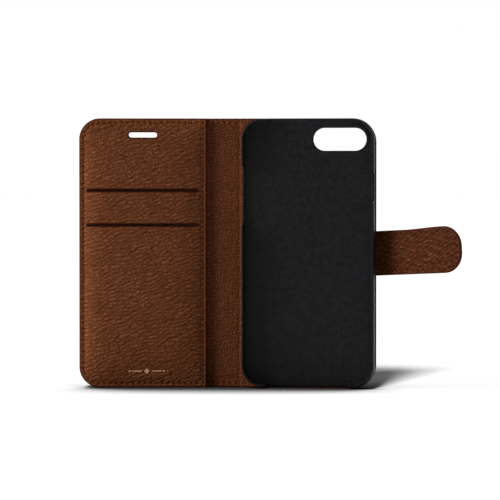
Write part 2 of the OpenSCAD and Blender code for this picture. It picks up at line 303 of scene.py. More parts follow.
def divided(points, spacing):
    """The closed loop with its long sides cut into even steps."""
    return [p for a, b in zip(points, points[1:] + points[:1]) for p in stepped(a, b, spacing)]


STAGGER = 0.866  # gap between rows of equal-sided triangles, for their side


def grid(box, spacing):
    """A field of points in staggered rows over a box."""
    rows = np.arange(box.low + spacing / 2, box.high, spacing * STAGGER)
    columns = np.arange(box.left + spacing / 2, box.right, spacing)
    u, z = np.meshgrid(columns, rows)
    u[1::2] += spacing / 2
    return u.ravel(), z.ravel()


# ---------- bends ----------


class Ribbon:
    """The plan curve that a flat sheet follows: straight runs joined by eased bends."""

    def __init__(self, low, high, fixed_at, fixed_place, bends, height=0.0, rise=0.0, flare=0.0):
        self.s = np.arange(low, high, 0.05)
        self.heading = np.zeros(len(self.s))
        for at, before, after, reach in bends:
            self.heading += before + (after - before) * smooth((self.s - at) / (2 * reach) + 0.5)
        run = np.stack([np.cos(self.heading), np.sin(self.heading)], 1) * 0.05
        place = np.cumsum(run, 0)
        start = [np.interp(fixed_at, self.s, place[:, k]) for k in (0, 1)]
        self.place = place - start + np.array(fixed_place)[:2]
        self.pivot, self.height, self.rise, self.flare = np.array(fixed_place), height, rise, flare

    def bent(self, u, z, depth):
        """The places in the row frame of points laid out flat."""
        heading = np.interp(u, self.s, self.heading)
        x = np.interp(u, self.s, self.place[:, 0]) + np.sin(heading) * depth
        y = np.interp(u, self.s, self.place[:, 1]) - np.cos(heading) * depth
        wider = self.flare * smooth((u - FLARE_FROM) / FLARE_RUN) * (0.5 + z / STRAP_H)
        x, up = turned(x - self.pivot[0], z + wider, -self.rise)
        return np.stack([x + self.pivot[0], y, up + self.height], 1)


cover_bends = [(BACK_CREASE, SPINE_TURN, 0, CREASE_REACH), (FRONT_CREASE, COVER_TURN, 0, CREASE_REACH)]
covers = Ribbon(-140, 50, 0, (0, 0), cover_bends)
strap_bends = [(0, 0, STRAP_SWING, STRAP_BEND_REACH)]
strap = Ribbon(-10, 60, 0, STRAP_AT[:2], strap_bends, height=STRAP_AT[2], rise=STRAP_RISE, flare=1.0)


# ---------- stitch rows ----------


class Row:
    """Evenly spaced stitches along a line: where each is, and the needle holes between them."""

    def __init__(self, corners):
        points = [p for a, b in zip(corners, corners[1:]) for p in stepped(a, b, 0.2)]
        self.points = np.array(points + [corners[-1]])
        gaps = np.linalg.norm(np.diff(self.points, axis=0), axis=1)
        self.run = np.concatenate([[0], np.cumsum(gaps)])
        self.count = max(1, round(self.run[-1] / STITCH_PITCH))
        self.pitch = self.run[-1] / self.count
        self.holes = self.at(np.arange(self.count + 1) * self.pitch)
        middles = (np.arange(self.count) + 0.5) * self.pitch
        self.middles = self.at(middles)
        ahead = self.at(middles + 0.3) - self.at(middles - 0.3)
        self.angles = np.arctan2(ahead[:, 1], ahead[:, 0])

    def at(self, s):
        return np.stack([np.interp(s, self.run, self.points[:, k]) for k in (0, 1)], 1)


def nearest(u, z, points):
    """Distance of each place from the nearest of some points, and which one it is."""
    far, which = np.full(u.shape, 99.0), np.zeros(u.shape, int)
    low, high = points.min(0) - 3, points.max(0) + 3
    close = np.nonzero((u > low[0]) & (u < high[0]) & (z > low[1]) & (z < high[1]))[0]
    for part in np.array_split(close, max(1, len(close) // 4000)):
        if len(part) == 0:
            continue
        d = np.hypot(u[part, None] - points[None, :, 0], z[part, None] - points[None, :, 1])
        which[part] = d.argmin(1)
        far[part] = d.min(1)
    return far, which


# The groove that a row of thread pulls, the leather that puffs up beside it, and the needle holes
GROOVE_DEPTH, GROOVE_R = 0.15, 0.42
PUFF = 0.07
HOLE_DEPTH, HOLE_R = 0.42, 0.36


def stitched(u, z, rows):
    """How far leather stands up or sinks along stitch rows, and how much of a needle hole is there."""
    relief, hole = np.zeros(u.shape), np.zeros(u.shape)
    for row in rows:
        far, which = nearest(u, z, row.points)
        beat = 0.5 - 0.5 * np.cos(2 * math.pi * row.run[which] / row.pitch)
        relief += PUFF * beat * bell((far - 0.95) / 0.5) - GROOVE_DEPTH * bell(far / GROOVE_R)
        far_hole, _ = nearest(u, z, row.holes)
        hole = np.maximum(hole, bell(far_hole / HOLE_R))
    return relief - HOLE_DEPTH * hole, hole


def near_rows(rows, reach):
    """A test for places within reach of any stitch row."""
    return lambda u, z: np.min([nearest(u, z, row.points)[0] for row in rows], axis=0) < reach


def border_line(box, inset, side, start):
    """A line along a cover's three outer edges: side is -1 where the round corners are on the left."""
    r = (box.r_left if side < 0 else box.r_right) - inset
    far = box.left + inset if side < 0 else box.right - inset
    points = [(start, box.low + inset)]
    for middle_z, turn in ((box.low + inset + r, -90), (box.high - inset - r, 0)):
        points += [(far - side * r + side * du, z) for du, z in arc(0, middle_z, r, turn, 90, 18)]
    return points + [(start, box.high - inset)]


# ---------- meshes ----------


def triangles(loops, extra_u, extra_z, inside):
    """Flat points and triangles that fill loops, with the numbers of the loops' own points."""
    fixed = [p for loop in loops for p in loop]
    edges, start = [], 0
    for loop in loops:
        edges += [(start + i, start + (i + 1) % len(loop)) for i in range(len(loop))]
        start += len(loop)
    points = [Vector(p) for p in fixed] + [Vector(p) for p in zip(extra_u, extra_z)]
    flat, _, faces, origins, _, _ = geometry.delaunay_2d_cdt(points, edges, [], 0, 1e-7, True)
    number = {}
    for i, sources in enumerate(origins):
        for source in sources:
            number[source] = i
    flat, faces = np.array(flat, float).reshape(-1, 2), np.array(faces, int).reshape(-1, 3)
    middle = flat[faces].mean(1)
    faces = faces[inside(middle[:, 0], middle[:, 1])]
    used = np.unique(faces)
    renumber = np.full(len(flat), -1)
    renumber[used] = np.arange(len(used))
    ring = [renumber[number[i]] for i in range(len(fixed))]
    return flat[used], renumber[faces], ring


def mesh_object(name, vertices, faces, attributes, material, sharp=55):
    """A smooth-shaded mesh from millimetre places, with named attributes on its points."""
    mesh = bpy.data.meshes.new(name)
    mesh.from_pydata(np.asarray(vertices) * MM, [], faces)
    for key, values in attributes.items():
        values = np.asarray(values, np.float32)
        kind = "FLOAT" if values.ndim == 1 else "FLOAT_VECTOR"
        layer = mesh.attributes.new(key, kind, "POINT")
        layer.data.foreach_set("value" if kind == "FLOAT" else "vector", values.ravel())
    mesh.validate()
    mesh.shade_smooth()
    mesh.set_sharp_from_angle(angle=math.radians(sharp))
    mesh.materials.append(material)
    obj = bpy.data.objects.new(name, mesh)
    bpy.context.scene.collection.objects.link(obj)
    return obj


EDGE_RINGS = (0.05, 0.14, 0.28, 0.5)
FINE_SPACING = 0.27


class Sheet:
    """A closed sheet of leather: a finely modelled face, a plain back, and rounded painted edges."""

    def __init__(self, ribbon, box, reach=None, holes=(), **shape):
        self.ribbon, self.box, self.reach, self.holes = ribbon, box, reach or box, holes
        self.spacing = shape.get("spacing", 0.5)
        self.back_spacing = shape.get("back_spacing", 4.0)
        self.edge_r = shape.get("edge_r", 0.34)
        self.paint = shape.get("paint", 0.42)

    def edge(self, u, z):
        """Distance from the nearest real edge of the sheet."""
        far = self.reach.distance(u, z)
        for hole in self.holes:
            far = np.minimum(far, hole.distance(u, z))
        return far

    def inside(self, u, z):
        return (self.box.distance(u, z) > 0) & (self.edge(u, z) > 0)

    def round_off(self, far):
        """How far the face drops towards its rounded edge."""
        near = np.clip(self.edge_r - far, 0, self.edge_r)
        return self.edge_r - np.sqrt(np.maximum(self.edge_r**2 - near**2, 0))

    def painted(self, far):
        """How much of the cut edge's paint covers a face near it."""
        return 1 - smooth((far - self.paint) / 0.3)

    def filling(self, spacing, dense, rings):
        """Points inside the outline: rings along the real edges, then a field, finer where dense says."""
        ring_points = []
        for far in rings:
            ring_points += self.reach_loop(far, spacing)
            for hole in self.holes:
                ring_points += hole.loop(far, min(spacing, 0.45))
        ring_u, ring_z = np.array(ring_points).T
        keep = self.box.distance(ring_u, ring_z) > 0.03
        ring_u, ring_z = ring_u[keep], ring_z[keep]
        u, z = grid(self.box, spacing)
        last = max(rings) + 0.35 * spacing
        clear = (self.edge(u, z) > last) & (self.box.distance(u, z) > 0.45 * spacing)
        if dense is not None:
            clear &= ~dense(u, z)
            fine_u, fine_z = grid(self.box, FINE_SPACING)
            near = dense(fine_u, fine_z) & (self.edge(fine_u, fine_z) > max(rings) + 0.1)
            near &= self.box.distance(fine_u, fine_z) > 0.15
            ring_u, ring_z = np.append(ring_u, fine_u[near]), np.append(ring_z, fine_z[near])
        return np.append(ring_u, u[clear]), np.append(ring_z, z[clear])

    def reach_loop(self, far, spacing):
        low, high = self.box.left + 0.02, self.box.right - 0.02
        return [p for p in self.reach.loop(far, spacing) if low < p[0] < high]

    def build(self, name, front, back, material, dense, back_rings=()):
        """front(u, z) gives the fine face's depth and its marks, back(u, z) the plain face's depth."""
        loops = [self.box.loop(0, self.spacing)] + [hole.loop(0, 0.4) for hole in self.holes]
        field = self.filling(self.spacing, dense, EDGE_RINGS)
        plain = self.filling(self.back_spacing, None, EDGE_RINGS[1::2] + back_rings)
        face, face_tris, face_ring = triangles(loops, *field, self.inside)
        rear, rear_tris, rear_ring = triangles(loops, *plain, self.inside)
        depth, marks = front(face[:, 0], face[:, 1])
        rear_depth = back(rear[:, 0], rear[:, 1])
        side = 1 if np.mean(depth) > np.mean(rear_depth) else -1
        far, rear_far = self.edge(*face.T), self.edge(*rear.T)
        depth = depth - side * self.round_off(far)
        rear_depth = rear_depth + side * self.round_off(rear_far)
        flat = np.concatenate([face, rear])
        depths = np.concatenate([depth, rear_depth])
        walls = wall_faces(loops, face_ring, [len(face) + i for i in rear_ring])
        faces = [face_tris[:, ::side], rear_tris[:, ::-side] + len(face), walls[:, ::side]]
        marks["paint"] = self.painted(far)
        plain_marks = {"grain": 0.5, "hole": 0.0, "wear_and_highlight": 0.0, "paint": self.painted(rear_far)}
        attributes = {
            key: np.append(marks[key], np.broadcast_to(value, len(rear)))
            for key, value in plain_marks.items()
        }
        attributes["rest"] = np.column_stack([flat, depths])
        places = self.ribbon.bent(flat[:, 0], flat[:, 1], depths)
        return mesh_object(name, places, np.concatenate(faces).tolist(), attributes, material)


def wall_faces(loops, front_ring, back_ring):
    """Triangles that join two faces along their shared loops."""
    made, start = [], 0
    for number, loop in enumerate(loops):
        turn = 1 if number == 0 else -1
        for i in range(len(loop)):
            a, b = start + i, start + (i + 1) % len(loop)
            quad = (front_ring[a], back_ring[a], back_ring[b], front_ring[b])
            made += [(quad[0], quad[1], quad[2])[::turn], (quad[0], quad[2], quad[3])[::turn]]
        start += len(loop)
    return np.array(made)


def marks_of(grain, hole=0.0, wear_and_highlight=0.0):
    """The marks that a leather material reads, one value for each point."""
    full = np.shape(grain)
    return {"grain": grain, "hole": np.broadcast_to(hole, full), "wear_and_highlight": np.broadcast_to(wear_and_highlight, full)}


# ---------- materials ----------


def srgb(text):
    """Linear colour of a hexadecimal screen colour."""
    parts = [int(text[i : i + 2], 16) / 255 for i in (0, 2, 4)]
    return tuple(p / 12.92 if p <= 0.04045 else ((p + 0.055) / 1.055) ** 2.4 for p in parts) + (1.0,)


# How much the studio light brightens a dye
LIGHT_GAIN = 1.15


def lit(text):
    """The dye that looks like a screen colour once it is lit."""
    return tuple(c / LIGHT_GAIN for c in srgb(text)[:3]) + (1.0,)


class Paint:
    """A node material under construction."""

    def __init__(self, name):
        self.material = bpy.data.materials.new(name)
        self.material.use_nodes = True
        self.tree = self.material.node_tree
        self.tree.nodes.clear()
        self.shader = self.node("BsdfPrincipled")
        self.node("OutputMaterial", {"Surface": self.shader.outputs[0]})

    def node(self, kind, inputs=None, **settings):
        """A new node whose inputs take values or other nodes' outputs."""
        made = self.tree.nodes.new("ShaderNode" + kind)
        for key, value in settings.items():
            setattr(made, key, value)
        self.feed(made, inputs or {})
        return made

    def feed(self, node, inputs):
        for key, value in inputs.items():
            if isinstance(value, bpy.types.NodeSocket):
                self.tree.links.new(value, node.inputs[key])
            elif value is not None:
                node.inputs[key].default_value = value

    def attribute(self, name, output="Fac"):
        return self.node("Attribute", attribute_name=name).outputs[output]

    def object_place(self, stretch=(1, 1, 1)):
        """The place on a rigid CAD piece, in millimetres."""
        place = self.node("TexCoord").outputs["Object"]
        scale = [share / MM for share in stretch]
        return self.node("VectorMath", {0: place, 1: scale}, operation="MULTIPLY").outputs[0]

    def noise(self, place, scale, detail=3.0, distortion=0.0, output="Fac"):
        inputs = {"Vector": place, "Scale": scale, "Detail": detail, "Distortion": distortion}
        return self.node("TexNoise", inputs).outputs[output]

    def pores(self, place, scale):
        inputs = {"Vector": place, "Scale": scale}
        return self.node("TexVoronoi", inputs, feature="DISTANCE_TO_EDGE").outputs["Distance"]

    def crazing(self, place, size, slant, stretch):
        """Distance from the furrows that craze a skin into small cells, longer along a slant."""
        shift = {0: self.noise(place, 0.6, 2.0, output="Color"), 1: (1.6, 1.6, 0.0), 2: place}
        wavy = self.node("VectorMath", shift, operation="MULTIPLY_ADD").outputs[0]
        turn, scale = (0.0, 0.0, math.radians(slant)), (size * stretch, size, 4 * size)
        cells_of = {"Vector": wavy, "Rotation": turn, "Scale": scale}
        return self.pores(self.node("Mapping", cells_of, vector_type="TEXTURE").outputs[0], 1.0)

    def math(self, operation, a, b=0.0):
        return self.node("Math", {0: a, 1: b}, operation=operation).outputs[0]

    def ramp(self, value, low, high, out_low=0.0, out_high=1.0):
        inputs = dict(enumerate((value, low, high, out_low, out_high)))
        return self.node("MapRange", inputs, interpolation_type="SMOOTHSTEP").outputs["Result"]

    def mix(self, share, a, b, blend="MIX"):
        inputs = {0: share, 6: a, 7: b}
        return self.node("Mix", inputs, data_type="RGBA", blend_type=blend).outputs[2]

    def bump(self, height, distance, normal=None):
        inputs = {"Strength": 1.0, "Distance": distance * MM, "Height": height, "Normal": normal}
        return self.node("Bump", inputs).outputs[0]

    def finish(self, colour, roughness, normal, **values):
        inputs = {key.replace("_", " "): value for key, value in values.items()}
        inputs.update({"Base Color": colour, "Roughness": roughness, "Normal": normal})
        self.feed(self.shader, inputs)
        return self.material


MOTTLE = (0.72, 0.66, 0.62, 1.0)
CLOUD = (1.18, 1.1, 1.02, 1.0)
# Lighter rubbed leather, also used as a painted highlight along the card panel's free edge
RUBBED_AND_HIGHLIGHT = lit("68361a")
EDGE_PAINT = lit("30130a")
# Near-black painted shade for the inside of the needle holes
NEEDLE_HOLE_SHADE = lit("140603")
DULL = 0.02  # the leathers' specular level


def leather(name, dyes, pore_scale=2.6, pore_depth=0.05, gloss=0.58, cell=(1.25, 8, 1.8), crazed=0.42):
    """Aniline-dyed grained leather: dark valleys, rubbed ridges, worn edges and a painted highlight,
    painted shade in the needle holes, and painted cut edges.
    """
    p = Paint(name)
    valley, body, ridge = map(lit, dyes)
    rest, grain = p.attribute("rest", "Vector"), p.attribute("grain")
    hole, wear_and_highlight, edge = p.attribute("hole"), p.attribute("wear_and_highlight"), p.attribute("paint")
    mottle = p.noise(rest, 0.07, 4.0, 0.6)
    cloud = p.noise(rest, 0.45, 3.0)
    fleck = p.noise(rest, 3.2, 4.0)
    grain = p.math("ADD", grain, p.math("MULTIPLY", p.math("SUBTRACT", fleck, 0.5), 0.35))
    colour = p.mix(p.ramp(grain, 0.12, 0.56), valley, body)
    colour = p.mix(p.ramp(grain, 0.6, 0.98), colour, ridge)
    furrow = p.crazing(rest, *cell)
    colour = p.mix(p.ramp(furrow, 0.0, 0.2, crazed, 0.0), colour, valley)
    colour = p.mix(p.ramp(furrow, 0.2, 0.5, 0.0, 0.8 * crazed), colour, ridge)
    colour = p.mix(p.ramp(mottle, 0.35, 0.7, 0.0, 0.34), colour, p.mix(1.0, colour, MOTTLE, "MULTIPLY"))
    colour = p.mix(p.ramp(cloud, 0.4, 0.75, 0.0, 0.3), colour, p.mix(1.0, colour, CLOUD, "MULTIPLY"))
    # Lighter where worn, and along the card panel's free edge, where the same mark is a painted highlight
    colour = p.mix(p.ramp(wear_and_highlight, 0.0, 1.0, 0.0, 0.8), colour, RUBBED_AND_HIGHLIGHT)
    pore_map = p.pores(rest, pore_scale)
    pores = p.ramp(pore_map, 0.0, 0.16)
    colour = p.mix(p.ramp(pore_map, 0.0, 0.1, 0.28, 0.0), colour, valley)
    colour = p.mix(edge, colour, EDGE_PAINT)
    # Painted shade in the needle holes
    colour = p.mix(hole, colour, NEEDLE_HOLE_SHADE)
    roughness = p.ramp(fleck, 0.3, 0.7, gloss - 0.06, gloss + 0.08)
    roughness = p.math("ADD", roughness, p.ramp(grain, 0.1, 0.8, 0.1, -0.05))
    roughness = p.math("ADD", roughness, p.math("MULTIPLY", edge, -0.1))
    fine = p.math("ADD", p.math("MULTIPLY", pores, 0.6), p.noise(rest, 5.5, 5.0))
    matte_edge = p.math("SUBTRACT", 1.0, p.math("MULTIPLY", edge, 0.8))
    normal = p.bump(p.math("MULTIPLY", p.ramp(furrow, 0.0, 0.3), matte_edge), 0.4 * crazed)
    normal = p.bump(p.math("MULTIPLY", fine, matte_edge), pore_depth, normal)
    return p.finish(colour, roughness, normal, Specular_IOR_Level=DULL)


panel_leather = leather("PanelLeather", ("46240f", "5c341f", "784a32"))
cover_leather = leather("CoverLeather", ("40200e", "56301c", "6e422c"))
lining_dyes = ("3a1c0e", "4e2a17", "643b26")
lining_leather = leather("LiningLeather", lining_dyes, 3.4, 0.04, 0.56, (1.15, 20, 1.2), 0.62)
strap_dyes = ("2c160c", "462515", "69432f")
strap_leather = leather("StrapLeather", strap_dyes, 3.2, 0.04, 0.72, (1.2, 29, 2.6), 0.5)


def thread_material(name, dark, light):
    """Waxed thread whose strands show as it twists."""
    p = Paint(name)
    rest, strand = p.attribute("rest", "Vector"), p.attribute("grain")
    colour = p.mix(strand, lit(dark), lit(light))
    colour = p.mix(p.ramp(p.noise(rest, 1.1), 0.35, 0.7, 0.0, 0.4), colour, lit(dark))
    fuzz = p.bump(p.noise(rest, 14.0, 2.0), 0.02)
    return p.finish(colour, p.ramp(strand, 0, 1, 0.62, 0.45), fuzz, Specular_IOR_Level=0.06)


def shell_material():
    """Satin black plastic with a fine spark-eroded texture."""
    p = Paint("SatinBlackPlastic")
    rest = p.attribute("rest", "Vector")
    rubbed = p.noise(rest, 0.5, 5.0, 0.3)
    colour = p.mix(p.ramp(rubbed, 0.35, 0.7), srgb("08080a"), srgb("101012"))
    texture = p.noise(rest, 7.0, 3.0)
    roughness = p.ramp(texture, 0.3, 0.7, 0.4, 0.54)
    return p.finish(colour, roughness, p.bump(texture, 0.012), Specular_IOR_Level=0.14)


def foil_material():
    """Rose-gold hot foil, a little broken by the grain below it."""
    p = Paint("RoseGoldFoil")
    rest = p.attribute("rest", "Vector")
    worn = p.noise(rest, 2.4, 4.0)
    colour = p.mix(p.ramp(worn, 0.56, 0.74, 0.0, 0.7), srgb("d8a287"), srgb("8c5a42"))
    dents = p.bump(p.noise(rest, 6.0), 0.015)
    return p.finish(colour, p.ramp(worn, 0.3, 0.7, 0.28, 0.5), dents, Metallic=0.85)


def mottled(name, dark, light, spots, rough, bump, stretch=(1, 1, 1), tones=(0.3, 0.7), **values):
    """A CAD piece's material with two colours in spots: their scale, detail and distortion."""
    p = Paint(name)
    pattern = p.noise(p.object_place(stretch), *spots)
    colour = p.mix(p.ramp(pattern, *tones), dark, light)
    return p.finish(colour, p.ramp(pattern, 0.3, 0.7, *rough), p.bump(pattern, bump), **values)


def metal(name, dark, light, rough):
    """Bare metal with faint grinding marks."""
    colours, stretch = (srgb(dark), srgb(light)), (0.25, 1.0, 4.0)
    return mottled(name, *colours, (2.0, 4.0), (rough, rough + 0.15), 0.01, stretch, Metallic=1.0)


def cloth_material():
    """Plain-woven brown pocket cloth: crossing threads, 5 to the millimetre."""
    p = Paint("PocketCloth")
    place = p.object_place()
    parts = p.node("SeparateXYZ", {0: place}).outputs
    warp, weft = (p.math("SINE", p.math("MULTIPLY", parts[axis], 5 * math.pi)) for axis in "XZ")
    weave = p.ramp(p.math("MULTIPLY", warp, weft), -1.0, 1.0)
    colour = p.mix(weave, lit("3a2013"), lit("6b4127"))
    colour = p.mix(p.ramp(p.noise(place, 0.5), 0.35, 0.7, 0.0, 0.4), colour, lit("452515"))
    return p.finish(colour, p.ramp(weave, 0, 1, 0.9, 0.78), p.bump(weave, 0.06))


def grey(level):
    return (level, level, level, 1.0)


CONTACT_SHADE = 0.085  # metres


def floor_material():
    """Plain matt table, which the lamps light up to white, with a painted contact shadow that darkens it
    close under what stands on it.
    """
    p = Paint("PaleFloor")
    plain = p.mix(p.ramp(p.noise(p.object_place(), 0.004, 2.0), 0.3, 0.7), grey(0.092), grey(0.095))
    open_sky = p.node("AmbientOcclusion", {"Distance": CONTACT_SHADE}, samples=16).outputs["AO"]
    # Painted contact shadow: nearly black where nearby things hide the sky, the plain colour in the open
    colour = p.mix(p.ramp(open_sky, 0.52, 0.93), grey(0.003), plain)
    return p.finish(colour, 0.9, None, Specular_IOR_Level=0.0)


thread = thread_material("WaxedThread", "4a230e", "713c1a")
strap_thread = thread_material("StrapThread", "341a0d", "4c2917")


# ---------- shared places ----------

back_edges = Box(-300, BACK_RIGHT, 0, COVER_H, 0, BACK_R)
front_edges = Box(FRONT_EDGE, 300, 0, COVER_H, FRONT_R, 0)
panel_edges = Box(FRONT_EDGE, PANEL_EDGE, 0, COVER_H, FRONT_R, 0.5)
strap_edges = Box(-300, ROOT_L + TIP_L, -STRAP_H / 2, STRAP_H / 2, 0, TIP_R)

shell_low, shell_high = node_box("phone_shell")
SHELL_Z = (shell_low[2] + shell_high[2]) / 2
SHELL_W = shell_high[0] - shell_low[0]
SHELL_H = shell_high[2] - shell_low[2]
PHONE_W, PHONE_H = 67.3, 138.4
CAMERA_AT = (PHONE_W / 2 - 17.2, SHELL_Z + PHONE_H / 2 - 9.6)

camera_hole = Pill(*CAMERA_AT, CAMERA_L, CAMERA_H)
camera_cut = Pill(*CAMERA_AT, CAMERA_L + 1.2, CAMERA_H + 1.2)
EARPIECE_U = FRONT_CREASE - FRONT_W / 2 - PANEL_SETBACK / 2
earpiece = Pill(EARPIECE_U, COVER_H - EARPIECE_DROP, EARPIECE_L, EARPIECE_H)
FOIL_U = EARPIECE_U + FOIL_SHIFT
MOUTH_U = FRONT_EDGE + MOUTH_SIDE + MOUTH_L / 2
mouths = [Pill(MOUTH_U, COVER_H - drop, MOUTH_L, MOUTH_H) for drop in MOUTH_DROPS]


def end_rows(from_u, to_u):
    """Two straight rows across the case, along its bottom and its top edge."""
    return [Row([(from_u, z), (to_u, z)]) for z in (STITCH_INSET, COVER_H - STITCH_INSET)]


PANEL_ROW_U = PANEL_EDGE - PANEL_STITCH_INSET
back_row = Row(border_line(back_edges, STITCH_INSET, 1, BACK_CREASE + CREASE_STITCH))
front_row = Row(border_line(front_edges, STITCH_INSET, -1, FRONT_CREASE - CREASE_STITCH))
panel_row = Row(border_line(panel_edges, STITCH_INSET, -1, PANEL_ROW_U))
panel_edge_row = Row([(PANEL_ROW_U, COVER_H - STITCH_INSET), (PANEL_ROW_U, STITCH_INSET)])
panel_rows = [panel_row, panel_edge_row]
spine_rows = end_rows(BACK_CREASE - CREASE_STITCH, FRONT_CREASE + CREASE_STITCH)
crease_rows = {c: end_rows(c + CREASE_STITCH, c - CREASE_STITCH) for c in (BACK_CREASE, FRONT_CREASE)}
strap_row = Row(border_line(strap_edges, STITCH_INSET, 1, 1.0))
inner_spine_rows = [*spine_rows, *crease_rows[BACK_CREASE], *crease_rows[FRONT_CREASE]]
all_cover_rows = [back_row, front_row, *inner_spine_rows]


def rubbed_edge(far, width=2.6):
    """Wear along an edge: strongest on the border outside the stitches."""
    return 0.7 * (1 - smooth(far / width))


# ---------- outer leather ----------


# How deep the covers' leather sinks at a crease, and how far from it
CREASE_DIP = 0.26
CREASE_FADE = 1.1


def creases(u, width):
    """1 on either crease of the spine, fading over a width."""
    return bell((u - BACK_CREASE) / width) + bell((u - FRONT_CREASE) / width)


def outer_face(edges):
    """Outside face of the covers and spine."""

    def face(u, z):
        far = edges.distance(u, z)
        grain = wrinkled_grain(-u, z)
        relief, hole = stitched(u, z, all_cover_rows)
        hinge = creases(u, CREASE_FADE)
        past_spine = np.abs(u - MID_SPINE) - SPINE_W / 2
        stiff = smooth((past_spine + 2.4) / 0.8)
        on_cover = smooth((past_spine - 1.2) / 0.9)
        step = 0.1 * (stiff - on_cover)
        press = 0.14 * (1 - smooth((far - 2.6) / 1.2))
        calm = 0.35 + 0.65 * smooth((far - 0.4) / 1.6)
        height = 0.24 * (grain - MID_GRAIN) * calm * (1 - 0.5 * np.clip(hinge, 0, 1)) + relief
        depth = -HALF_LEATHER + CREASE_DIP * hinge + step + press - height
        return depth, marks_of(grain, hole, rubbed_edge(far) + 0.25 * hinge)

    return face


def outer_back(edges, notch=None):
    """Inside face: a turned edge fills the border beside the board."""

    def face(u, z):
        in_spine = smooth((SPINE_W / 2 + 1 - np.abs(u - MID_SPINE)) / 1.0)
        rim = 1 - smooth((edges.distance(u, z) - RIM_W) / 0.25)
        if notch is not None:
            rim = rim * (1 - notch(u, z))
        rim = rim * (1 - np.clip(creases(u, 1.3), 0, 1))
        return HALF_LEATHER + rim * (0.6 - 0.3 * in_spine) - 0.02

    return face


def strap_slot(u, z):
    """1 where the strap's skived end lies in the back cover's border."""
    across = smooth((STRAP_H / 2 + 0.4 - np.abs(z - STRAP_AT[2])) / 0.3)
    return smooth((u - BACK_RIGHT + RIM_W + 2) / 0.3) * across


def back_half(**shape):
    """The back cover's half of a layer, which meets the front's half in the middle of the spine."""
    box = Box(MID_SPINE, BACK_RIGHT, 0, COVER_H, 0, BACK_R)
    return Sheet(covers, box, back_edges, [camera_cut], **shape)


def front_half(tuck=0.0, **shape):
    box = Box(FRONT_EDGE + tuck, MID_SPINE, 0, COVER_H, FRONT_R, 0)
    return Sheet(covers, box, front_edges, [earpiece], **shape)


def blend_crease(obj):
    """Bakes a piece's placement into its points."""
    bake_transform(obj)


def finish_halves(back, front):
    blend_crease(back)
    blend_crease(front)


def make_outer_leather():
    look = (cover_leather, near_rows(all_cover_rows, FINE_REACH), (3.2, 3.6))
    back = back_half(spacing=0.55).build(
        "outer_leather_back", outer_face(back_edges), outer_back(back_edges, strap_slot), *look
    )
    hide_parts("back_outer_leather", "spine_outer_leather")
    front = front_half(spacing=0.55).build(
        "outer_leather_front", outer_face(front_edges), outer_back(front_edges), *look
    )
    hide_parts("front_outer_leather")
    finish_halves(back, front)


# ---------- lining ----------

HEM_Z = 5.6


def lining_level(u, back_depth, spine_depth, front_depth):
    """Depth along the case, level but for the dips into the creases."""
    to_spine = smooth((BACK_CREASE + 1.6 - u) / 2.4)
    to_front = smooth((FRONT_CREASE + 0.8 - u) / 2.4)
    level = back_depth + (spine_depth - back_depth) * to_spine + (front_depth - spine_depth) * to_front
    return level - 0.24 * creases(u, 0.75)


def lining_face(edges):
    def face(u, z):
        far = edges.distance(u, z)
        grain = lining_grain(u, z)
        level = lining_level(u, BACK_INSIDE, SPINE_INSIDE, FRONT_INSIDE)
        relief, hole = stitched(u, z, inner_spine_rows)
        on_spine = smooth((BACK_CREASE + 0.4 - u) / 0.8)
        fold = bell((z - HEM_Z) / 0.28) * on_spine
        hem = 0.08 * (1 - smooth((z - HEM_Z) / 0.6)) * on_spine
        past_spine = np.abs(u - MID_SPINE) - SPINE_W / 2
        ripple = 0.05 * noise(u / 0.9, z / 9.0, 31) * bell((past_spine + 0.9) / 1.1)
        height = 0.24 * (grain - 0.6) * smooth((far - 0.2) / 1.0) + relief - 0.14 * fold + hem + ripple
        # The grain is darkened along the hem's fold: painted shade in its crease
        return level + height, marks_of(grain * (1 - 0.5 * fold), hole, rubbed_edge(far, 1.6))

    return face


def lining_back(u, z):
    return lining_level(u, UNDER_BOARD, SPINE_UNDER, UNDER_BOARD) + 0.03


def make_lining():
    look = (lining_leather, near_rows(inner_spine_rows, FINE_REACH), (1.5,))
    back = back_half(spacing=0.5, edge_r=0.24).build(
        "lining_back", lining_face(back_edges), lining_back, *look
    )
    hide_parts("back_lining", "spine_lining")
    front = front_half(0.06, spacing=0.6, edge_r=0.22).build(
        "lining_front", lining_face(front_edges), lining_back, *look
    )
    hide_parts("front_lining")
    finish_halves(back, front)


# ---------- card panel ----------


def mouth_window(u, mouth, fade):
    """1 along a pocket mouth, falling to 0 past its ends."""
    return smooth((mouth.reach + 0.5 - np.abs(u - mouth.u)) / fade)


def lips(u, z):
    """Leather pushed out below each pocket mouth by the cards, and drawn in above it."""
    raised = np.zeros(u.shape)
    for mouth in mouths:
        below = mouth.z - z
        lower = (below > 0) * np.exp(-np.abs(below) / 4.5)
        upper = (below <= 0) * np.exp(-np.abs(below) / 1.6)
        raised += 0.5 * mouth_window(u, mouth, 9.0) * lower
        raised -= 0.1 * mouth_window(u, mouth, 3.0) * upper
    return raised


def puckers(u, z):
    """Small folds that spread from the ends of the pocket mouths."""
    made = np.zeros(u.shape)
    for mouth in mouths:
        for side in (-1, 1):
            du, dz = u - (mouth.u + side * (mouth.reach + 0.4)), z - mouth.z
            far, angle = np.hypot(du, dz), np.arctan2(dz, du * side)
            made += 0.11 * np.cos(5 * angle + 1.2 * side) * np.exp(-far / 2.6) * smooth(far / 0.9)
    return made


PILLOW = 2.6


